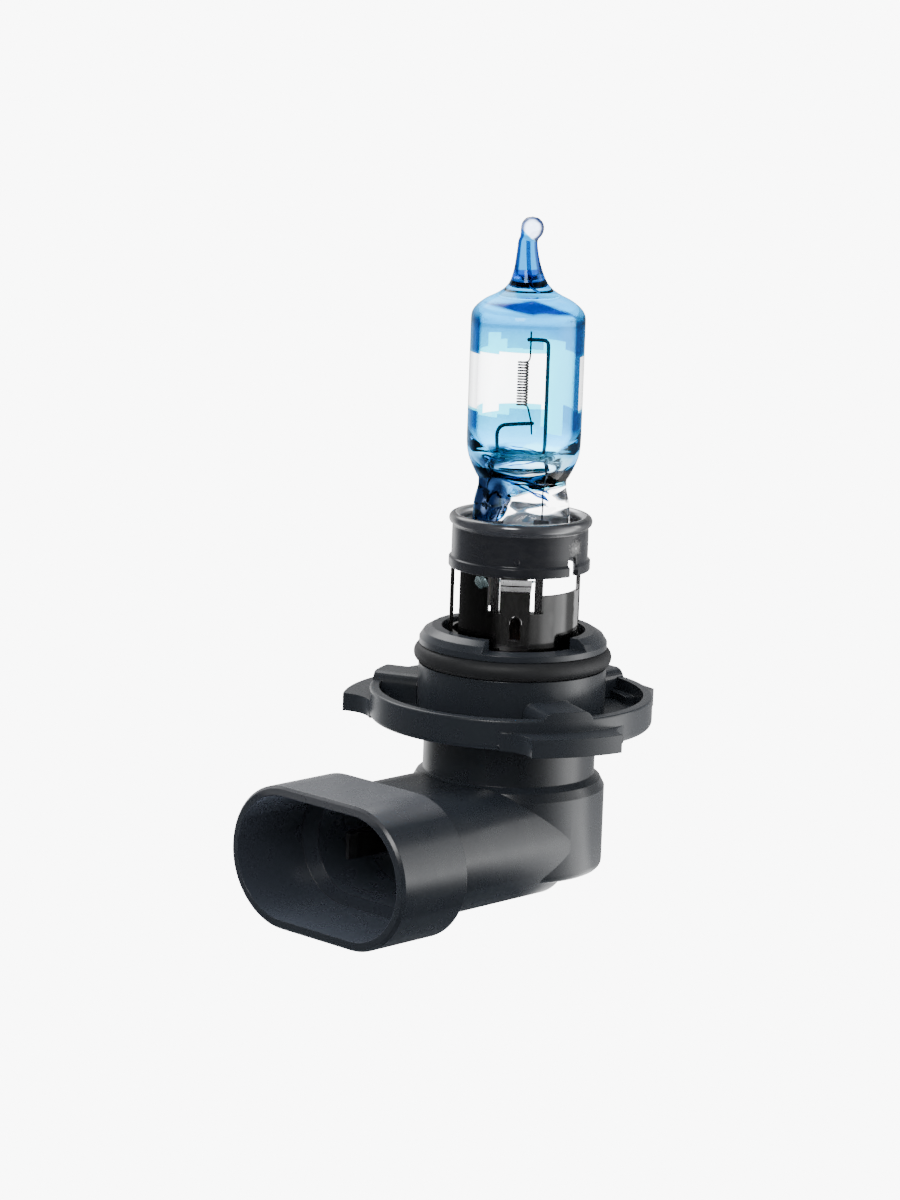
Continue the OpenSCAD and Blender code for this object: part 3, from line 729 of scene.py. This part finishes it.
BEAD_ROWS = [(46.6, 1.06, 1.1, 0, 0, -0.12, 0)] + [round_row(z, r, shift) for z, r, shift in [
    (47.0, 1.16, 0.02), (47.5, 1.2, 0.07), (48.0, 1.09, 0.07), (48.35, 0.83, 0.05), (48.55, 0.56, 0.04),
    (TIP_Z - 0.05, 0.24, 0.03), (TIP_Z, 0.06, 0.03)]]
CHAMBER_ROWS = [
    (22.75 + 4.2 * (1 - math.cos(t)), CHAMBER_R * math.sin(t) ** 0.7, CHAMBER_R * math.sin(t) ** 1.25,
     0.12 * math.cos(t), 0, 0, 0) for t in np.linspace(0.06, math.pi / 2, 40)]
CHAMBER_ROWS += [round_row(z, r) for z, r in [
    (37.2, CHAMBER_R), (37.9, 4.92), (38.35, 4.66), (38.75, 4.15), (39.1, 3.3), (39.35, 2.3), (39.5, 1.2),
    (39.55, 0.4)]]
# the fine hole that is left in the stem, bent over at its foot
HOLE_PATH = [(0.75, 0, 40.1), (0.35, 0, 40.6), (0.05, 0, 41.3), (-0.05, 0, 42.2), (-0.2, 0, 43.6),
             (-0.3, 0, 45.2), (-0.32, 0, 46.2)]
HOLE_R = 0.15


def lofted(rows):
    """Points and faces of a closed solid through the rows, which run upwards."""
    last = (len(rows) - 1) * COLUMNS
    faces = [tuple(reversed(range(COLUMNS)))] + ring_faces(len(rows), COLUMNS)
    return loft(rows), faces + [tuple(range(last, last + COLUMNS))]


def glass():
    """The hollow capsule: its outside, and turned inside out its chamber and the hole in its stem."""
    outer, faces = lofted(spaced(SEAL_ROWS + NECK_ROWS + SHOULDER_ROWS + STEM_ROWS + BEAD_ROWS, 0.15))
    indices = [0] * len(faces)
    points = [outer]
    start = len(outer)
    chamber = lofted(spaced(CHAMBER_ROWS, 0.3))
    hole = tube(smooth_path(HOLE_PATH, 0.15), HOLE_R, 12)
    for hollow, hollow_faces in (chamber, hole):
        faces += [tuple(start + i for i in reversed(f)) for f in hollow_faces]
        indices += [1] * len(hollow_faces)
        points.append(hollow)
        start += len(hollow)
    return make_piece("glass_capsule", placed(np.vstack(points)), faces, [COATED_QUARTZ, CLEAR_QUARTZ],
                      "glass_envelope", 60, indices)


glass()

# ---------------------------------------------------------------- filament and its supports
COIL_Z, COIL_TOP = 29.15, 33.85
COIL_R, WIRE_R = 0.52, 0.095
COIL_TURNS = 16
STEPS_PER_TURN = 22
TAIL_X = 0.68
SUPPORT_R = 0.2
ETCHED_SHARE, ETCHED_Z = 0.4, 22.4  # how thin a support is inside the seal, and where that ends


def filament():
    turns = np.arange(COIL_TURNS * STEPS_PER_TURN + 1) / STEPS_PER_TURN
    pitch = (COIL_TOP - COIL_Z) / COIL_TURNS
    coil = np.stack([COIL_R * np.cos(2 * math.pi * turns), COIL_R * np.sin(2 * math.pi * turns),
                     COIL_Z + pitch * turns], 1)
    low = smooth_path([(TAIL_X + 0.42, 0, 26.15), (TAIL_X + 0.36, 0, 27.0), (TAIL_X + 0.3, 0, 27.6),
                       (TAIL_X + 0.12, -0.02, 28.3), (TAIL_X - 0.02, -0.1, 28.9)], 0.1)
    high = smooth_path([(TAIL_X - 0.06, 0.12, 34.0), (TAIL_X, 0.04, 34.35), (TAIL_X, 0, 35.0),
                        (TAIL_X, 0, 36.0), (TAIL_X, 0, 37.25)], 0.1)
    points, faces = rounded_wire(placed(np.vstack([low, coil, high]), CAP_AXIS), WIRE_R, 10)
    return make_piece("filament_coil", points, faces, [TUNGSTEN], "filament", 60)


def support(name, route, node):
    """A stiff wire whose end inside the seal is etched thinner."""
    path = smooth_path(route, 0.08)
    radii = SUPPORT_R * (ETCHED_SHARE + (1 - ETCHED_SHARE) * np.clip((path[:, 2] - ETCHED_Z) / 0.5, 0, 1))
    radii[-1] *= 0.55
    radii[-2] *= 0.88
    points, faces = tube(placed(path), radii, 16)
    return make_piece(name, points, faces, [MOLYBDENUM], node, 60)


filament()
support("long_support_wire",
        [(2.18, 0, 16.4), (2.18, 0, 20), (2.18, 0, 25), (2.18, 0, 30), (2.18, 0, 34.8), (2.17, 0, 35.35),
         (2.1, 0, 35.72), (1.9, 0, 35.93), (1.55, 0, 36.0), (0.8, 0, 36.02), (-0.04, 0, 36.0)],
        "long_support")
support("short_support_wire",
        [(-2.8, 0, 16.4), (-2.8, 0, 20), (-2.8, 0, 25), (-2.8, 0, 25.9), (-2.74, 0, 26.4), (-2.5, 0, 26.85),
         (-2.1, 0, 27.07), (-1.5, 0, 27.15), (-0.5, 0, 27.24), (0.99, 0, 27.34)], "short_support")


# ---------------------------------------------------------------- black retaining ring
NOTCH_ANGLE = 3.4
NOTCH = [(-0.66, RING_FOOT - 1), (0.66, RING_FOOT - 1), (0.66, 13.2), (0.56, 13.7), (0.5, 14.18),
         (0.32, 14.32), (-0.5, 14.3), (-0.62, 14.1), (-0.66, 13.4)]


def ring():
    inner = RING_R - RING_T
    roll_z = RING_TOP - ROLL_R
    hem = RING_FOOT + 1.05
    profile = [(inner, RING_FOOT + 0.06), (inner + 0.06, RING_FOOT)]
    profile += arc(HEM_R - 0.14, RING_FOOT + 0.14, 0.14, -90, 0, 4)
    profile += arc(HEM_R - 0.16, hem - 0.16, 0.16, 0, 80, 5)
    profile += [(RING_R + 0.05, hem + 0.06), (RING_R, hem + 0.16), (RING_R, 14.5), (RING_R, 15.8)]
    profile += [(RING_R - 0.01, roll_z - ROLL_R - 0.28), (RING_R - 0.05, roll_z - ROLL_R - 0.08)]
    profile += arc(RING_R - 0.25, roll_z, ROLL_R, -58, 215, 26)
    profile += [(inner, roll_z - ROLL_R + 0.02), (inner, 15.5), (inner, 14)]
    points, faces = revolved(profile, 192)
    points[:, :2] += CAPSULE_AXIS
    made = make_piece("retaining_ring_black", points, faces, [BLACK_RING], "retaining_ring", 35)
    return boolean(made, [radial_cutter(NOTCH, CAPSULE_AXIS, NOTCH_ANGLE, 5, 9)])


ring()

# ---------------------------------------------------------------- steel sleeve
SLEEVE_R = 6.75
SLEEVE_T = 0.4
SLEEVE_FOOT = SLEEVE_LOW[2]
SLEEVE_TOP = SLEEVE_HIGH[2]
FLANGE_R = 7.4
TONGUE_R, TONGUE_INNER_R = 7.2, 6.8
TONGUE_HALF = 12.0  # degrees
# the sleeve's windows: from one angle to another, in degrees, and from a height up to the top
WINDOWS = [(-115.4, -64.6, 8.55), (-66, -13, 10.4), (-14, -1, 5.6), (7, 174, 5.6), (186, 211, 5.6)]
SLOT_HALF, SLOT_FOOT, SLOT_TOP = 0.57, 5.8, 8.3


def window_cutter(start, end, low):
    """Closed block between two angles, round the cap's axis, from a height to above the sleeve's top."""
    columns = np.radians(np.linspace(start, end, max(2, int((end - start) / 3)) + 1)) + HOLDER_TURN
    points = [(r * math.cos(a), r * math.sin(a), z)
              for a in columns for r in (5.6, 8.2) for z in (low, SLEEVE_TOP + 1)]
    faces = []
    for a in range(0, 4 * (len(columns) - 1), 4):
        b = a + 4
        faces += [(a, a + 1, b + 1, b), (a + 2, b + 2, b + 3, a + 3),
                  (a, b, b + 2, a + 2), (a + 1, a + 3, b + 3, b + 1)]
    end_corner = 4 * (len(columns) - 1)
    faces += [(0, 2, 3, 1), tuple(end_corner + i for i in (0, 1, 3, 2))]
    return make_cutter(points, faces)


def arch_line(half, foot, top):
    """The arch-topped slot's edge as (sideways, height), from its right foot over to its left foot."""
    return [(half, foot)] + [(half * math.cos(a), top - half + half * math.sin(a))
                             for a in np.linspace(0, math.pi, 13)] + [(-half, foot)]


def arch_cutter(mid):
    outline = arch_line(SLOT_HALF, SLOT_FOOT, SLOT_TOP)
    return radial_cutter(outline, CAP_AXIS, mid + math.degrees(HOLDER_TURN), 6, 9)


def sleeve():
    inner = SLEEVE_R - SLEEVE_T
    flange = SLEEVE_FOOT + SLEEVE_T
    profile = [(inner, SLEEVE_FOOT), (FLANGE_R, SLEEVE_FOOT), (FLANGE_R, flange),
               (SLEEVE_R + 0.1, flange), (SLEEVE_R, flange + 0.1)]
    profile += [(SLEEVE_R, z) for z in np.linspace(1, SLEEVE_TOP, 8)]
    profile += [(inner, z) for z in np.linspace(SLEEVE_TOP, 1, 8)]
    points, faces = revolved(profile, 180)
    made = make_piece("holder_sleeve_steel", points, faces, [SLEEVE_STEEL],
                      "holder_sleeve", 35)
    windows = [window_cutter(start, end, low) for start, end, low in WINDOWS]
    return boolean(made, windows + [arch_cutter(-90), arch_cutter(90)])


def arch_rim(name, mid):
    """The burr that stands proud over the slot's arch."""
    a = math.radians(mid) + HOLDER_TURN
    path = [(TONGUE_R * math.cos(a) - u * math.sin(a), TONGUE_R * math.sin(a) + u * math.cos(a), v)
            for u, v in arch_line(SLOT_HALF + 0.04, SLOT_TOP - SLOT_HALF - 0.25, SLOT_TOP + 0.04)]
    points, faces = rounded_wire(smooth_path(path, 0.06), 0.1, 8)
    return make_piece(name, points, faces, [SLEEVE_STEEL], "holder_sleeve", 60)


def tongue(name, mid):
    """Bent spring strip on the outside of the sleeve, with a fold at its top and an arch-topped slot."""
    outer = [(6.72, -0.2), (TONGUE_R, -0.2)] + [(TONGUE_R, z) for z in (2, 5, 8, 10.75)]
    outer += [(7.26, 10.95), (7.45, 11.25), (7.62, 11.6), (7.64, 12.0), (7.62, SLEEVE_TOP)]
    inner = [(7.3, SLEEVE_TOP), (7.28, 11.85), (7.1, 11.5), (6.86, 11.2)]
    inner += [(TONGUE_INNER_R, z) for z in (10.9, 8, 5, 2)]
    profile = outer + inner
    columns = np.radians(np.linspace(mid - TONGUE_HALF, mid + TONGUE_HALF, 13)) + HOLDER_TURN
    n = len(profile)
    points = [(r * math.cos(a), r * math.sin(a), z) for a in columns for r, z in profile]
    faces = [(i * n + j, (i + 1) * n + j, (i + 1) * n + (j + 1) % n, i * n + (j + 1) % n)
             for i in range(len(columns) - 1) for j in range(n)]
    faces += [tuple(range(n)), tuple(reversed(range((len(columns) - 1) * n, len(columns) * n)))]
    made = make_piece(name, points, faces, [SLEEVE_STEEL], "holder_sleeve", 35)
    arch_rim(name + "_slot_rim", mid)
    return boolean(made, [arch_cutter(mid)])


def weld_bead(name, angle, radius, height, size):
    """A lumpy drop of weld metal on the sleeve; its size is (sideways, outwards, upwards)."""
    rows, columns = 20, 28
    a = math.radians(angle)
    outward, sideways, up = np.array([
        (math.cos(a), math.sin(a), 0), (-math.sin(a), math.cos(a), 0), (0, 0, 1)])
    points = []
    for t in np.linspace(0.08, math.pi - 0.08, rows):
        for u in np.linspace(0, 2 * math.pi, columns, endpoint=False):
            lump = 1 + 0.2 * math.sin(3 * u + 2 * t + angle) * math.sin(t)
            lump += 0.12 * math.sin(5 * t + angle) * math.cos(2 * u)
            spread = (size[0] * math.cos(u) * sideways + size[1] * math.sin(u) * outward) * math.sin(t)
            points.append(radius * outward + height * up + lump * (spread + size[2] * math.cos(t) * up))
    faces = [tuple(range(columns))] + [tuple(reversed(f)) for f in ring_faces(rows, columns)]
    faces.append(tuple(reversed(range((rows - 1) * columns, rows * columns))))
    return make_piece(name, points, faces, [WELD_METAL], "holder_sleeve", 60)


sleeve()
weld_bead("weld_drop", -77.5, 6.85, 11.6, (0.72, 0.3, 0.62))
weld_bead("weld_bead_left", -58.5, 7.2, SLEEVE_TOP - 0.15, (0.3, 0.13, 0.13))
weld_bead("weld_bead_right", -33, 7.2, SLEEVE_TOP - 0.15, (0.26, 0.13, 0.13))
tongue("front_tongue", -90)
tongue("rear_tongue", 90)

# ---------------------------------------------------------------- floor, camera and light
# the viewing angle; distances here are in metres, and the lens is in millimetres
CAMERA_TURN, CAMERA_RISE, CAMERA_ROLL = math.radians(43.87), math.radians(11.208), math.radians(-1.987)
CAMERA_DISTANCE = 0.43487
AIM_SIDEWAYS, AIM_HEIGHT = -0.006712, 0.008483
LENS = 125.461
LAMP_AIM = Vector((0, 0, 0.01))
LAMP_DISTANCE = 0.5
FLOOR_HALF = 6.0

# level of the studio when it is looked at, reflected on the outside, or reflected inside the glass
PALE, REFLECTED, WITHIN = 9.0, 3.3, 7.65
# the reflected room, against the angle round it: 0.5 on our side, 0.75 to the right, 0 and 1 behind
ROOM = [(0.0, 0.16), (0.04, 0.32), (0.09, 0.65), (0.17, 0.08), (0.27, 0.025), (0.42, 0.008), (0.56, 0.01),
        (0.62, 0.15), (0.67, 0.7), (0.72, 1.5), (0.76, 1.5), (0.79, 0.42), (0.87, 0.15), (0.95, 0.18),
        (1.0, 0.16)]
# light that the glass bends is strongest from behind the object and weakest from our side
BENT = [(0.0, 1.0), (0.17, 1.0), (0.32, 0.5), (0.55, 0.22), (1.0, 0.15)]


def direction(turn, rise):
    """From the object towards a place at an angle round it and an angle above it."""
    return Vector((math.sin(turn) * math.cos(rise), -math.cos(turn) * math.cos(rise), math.sin(rise)))


VIEW_BACK = direction(CAMERA_TURN, CAMERA_RISE)


def camera():
    right = Vector((math.cos(CAMERA_TURN), math.sin(CAMERA_TURN), 0))
    data = bpy.data.cameras.new("camera")
    data.lens, data.sensor_width, data.sensor_fit = LENS, 36, "AUTO"
    data.clip_start, data.clip_end = 0.01, 20
    cam = bpy.data.objects.new("camera", data)
    SCENE.collection.objects.link(cam)
    cam.location = AIM_SIDEWAYS * right + Vector((0, 0, AIM_HEIGHT)) + VIEW_BACK * CAMERA_DISTANCE
    look = (-VIEW_BACK).to_track_quat("-Z", "Y")
    cam.rotation_mode = "QUATERNION"
    cam.rotation_quaternion = look @ Matrix.Rotation(-CAMERA_ROLL, 3, "Z").to_quaternion()
    SCENE.camera = cam


def surroundings(n, side, toward, fade, ahead):
    """Level of the studio round the object: white when looked at, a lit room when reflected."""
    share = n.math("MULTIPLY_ADD", n.math("ARCTAN2", side, toward), 1 / (2 * math.pi), 0.5)
    room = n.ramp(share, ROOM)
    path = n.add("ShaderNodeLightPath").outputs
    direct = n.math("LESS_THAN", n.math("ADD", path["Glossy Depth"], path["Diffuse Depth"]), 0.5)
    inside = n.math("GREATER_THAN", path["Transmission Depth"], 0.5)
    outer = n.product(room, fade, REFLECTED)
    inner = n.product(
        n.math("MULTIPLY_ADD", room, 0.7, 0.3), n.math("MULTIPLY_ADD", fade, 0.5, 0.5), WITHIN)
    level = n.math("ADD", n.product(outer, n.opposite(inside)), n.product(inner, inside))
    bent = n.ramp(n.math("MULTIPLY_ADD", ahead, 0.5, 0.5), BENT)
    clear = n.product(n.mix(inside, (1, 1, 1), bent), PALE)
    return n.math("ADD", n.product(direct, clear), n.product(n.opposite(direct), level))


def floor():
    n = Nodes("pale_floor")
    here = n.add("ShaderNodeTexCoord").outputs["Object"]
    side, toward = sides(n, here, CAMERA_TURN)
    away = n.vector("NORMALIZE", n.vector("SUBTRACT", here, (0, 0, 0.03)))
    ahead = n.math("MULTIPLY_ADD", n.vector("DOT_PRODUCT", away, VIEW_BACK), 0.5, -0.5)
    level = surroundings(n, side, toward, 1.0, ahead)
    tone = n.mix(n.noise(0.02, 2), (1, 1, 1), (0.985, 0.99, 0.995))
    material = n.done(n.add("ShaderNodeEmission", {"Color": tone, "Strength": level}).outputs[0])
    corners = [(x * FLOOR_HALF, y * FLOOR_HALF, CAD_BOX[0].z)
               for x, y in ((-1, -1), (1, -1), (1, 1), (-1, 1))]
    mesh = bpy.data.meshes.new("floor")
    mesh.from_pydata(corners, [], [(0, 1, 2, 3)])
    mesh.materials.append(material)
    plane = bpy.data.objects.new("floor", mesh)
    SCENE.collection.objects.link(plane)


def world():
    """The studio, with a pale wall high up behind on the left."""
    n = Nodes("studio", True)
    here = n.add("ShaderNodeTexCoord").outputs["Generated"]
    side, toward = sides(n, here, CAMERA_TURN)
    height = n.add("ShaderNodeSeparateXYZ", {0: here}).outputs[2]
    behind_left = n.math("ADD", n.product(side, -0.59), n.product(toward, -0.81))
    wall = n.product(n.ramp(behind_left, [(0.4, 0.0), (0.55, 1.0)]),
                     n.ramp(height, [(0.42, 0.0), (0.52, 1.0), (0.84, 1.0), (0.9, 0.0)]))
    fade = n.ramp(height, [(0.0, 1.0), (0.3, 0.7), (0.6, 0.15), (1.0, 0.06)])
    fade = n.math("MULTIPLY_ADD", wall, 3.0, fade)
    level = surroundings(n, side, toward, fade, n.vector("DOT_PRODUCT", here, VIEW_BACK))
    SCENE.world = n.done(n.add("ShaderNodeBackground", {"Strength": level}).outputs[0])


def softbox(name, turn, rise, width, height, power):
    """Area light at angles from the camera's side of the object, facing its middle."""
    way = direction(CAMERA_TURN + math.radians(turn), math.radians(rise))
    data = bpy.data.lights.new(name, "AREA")
    data.shape, data.size, data.size_y, data.energy = "RECTANGLE", width, height, power
    lamp = bpy.data.objects.new(name, data)
    SCENE.collection.objects.link(lamp)
    lamp.location = LAMP_AIM + way * LAMP_DISTANCE
    lamp.rotation_mode = "QUATERNION"
    lamp.rotation_quaternion = way.to_track_quat("Z", "Y")


camera()
floor()
world()
softbox("front_box", -19, 36, 0.16, 0.2, 1.6)
softbox("right_box", 104, 8, 0.1, 0.4, 0.4)
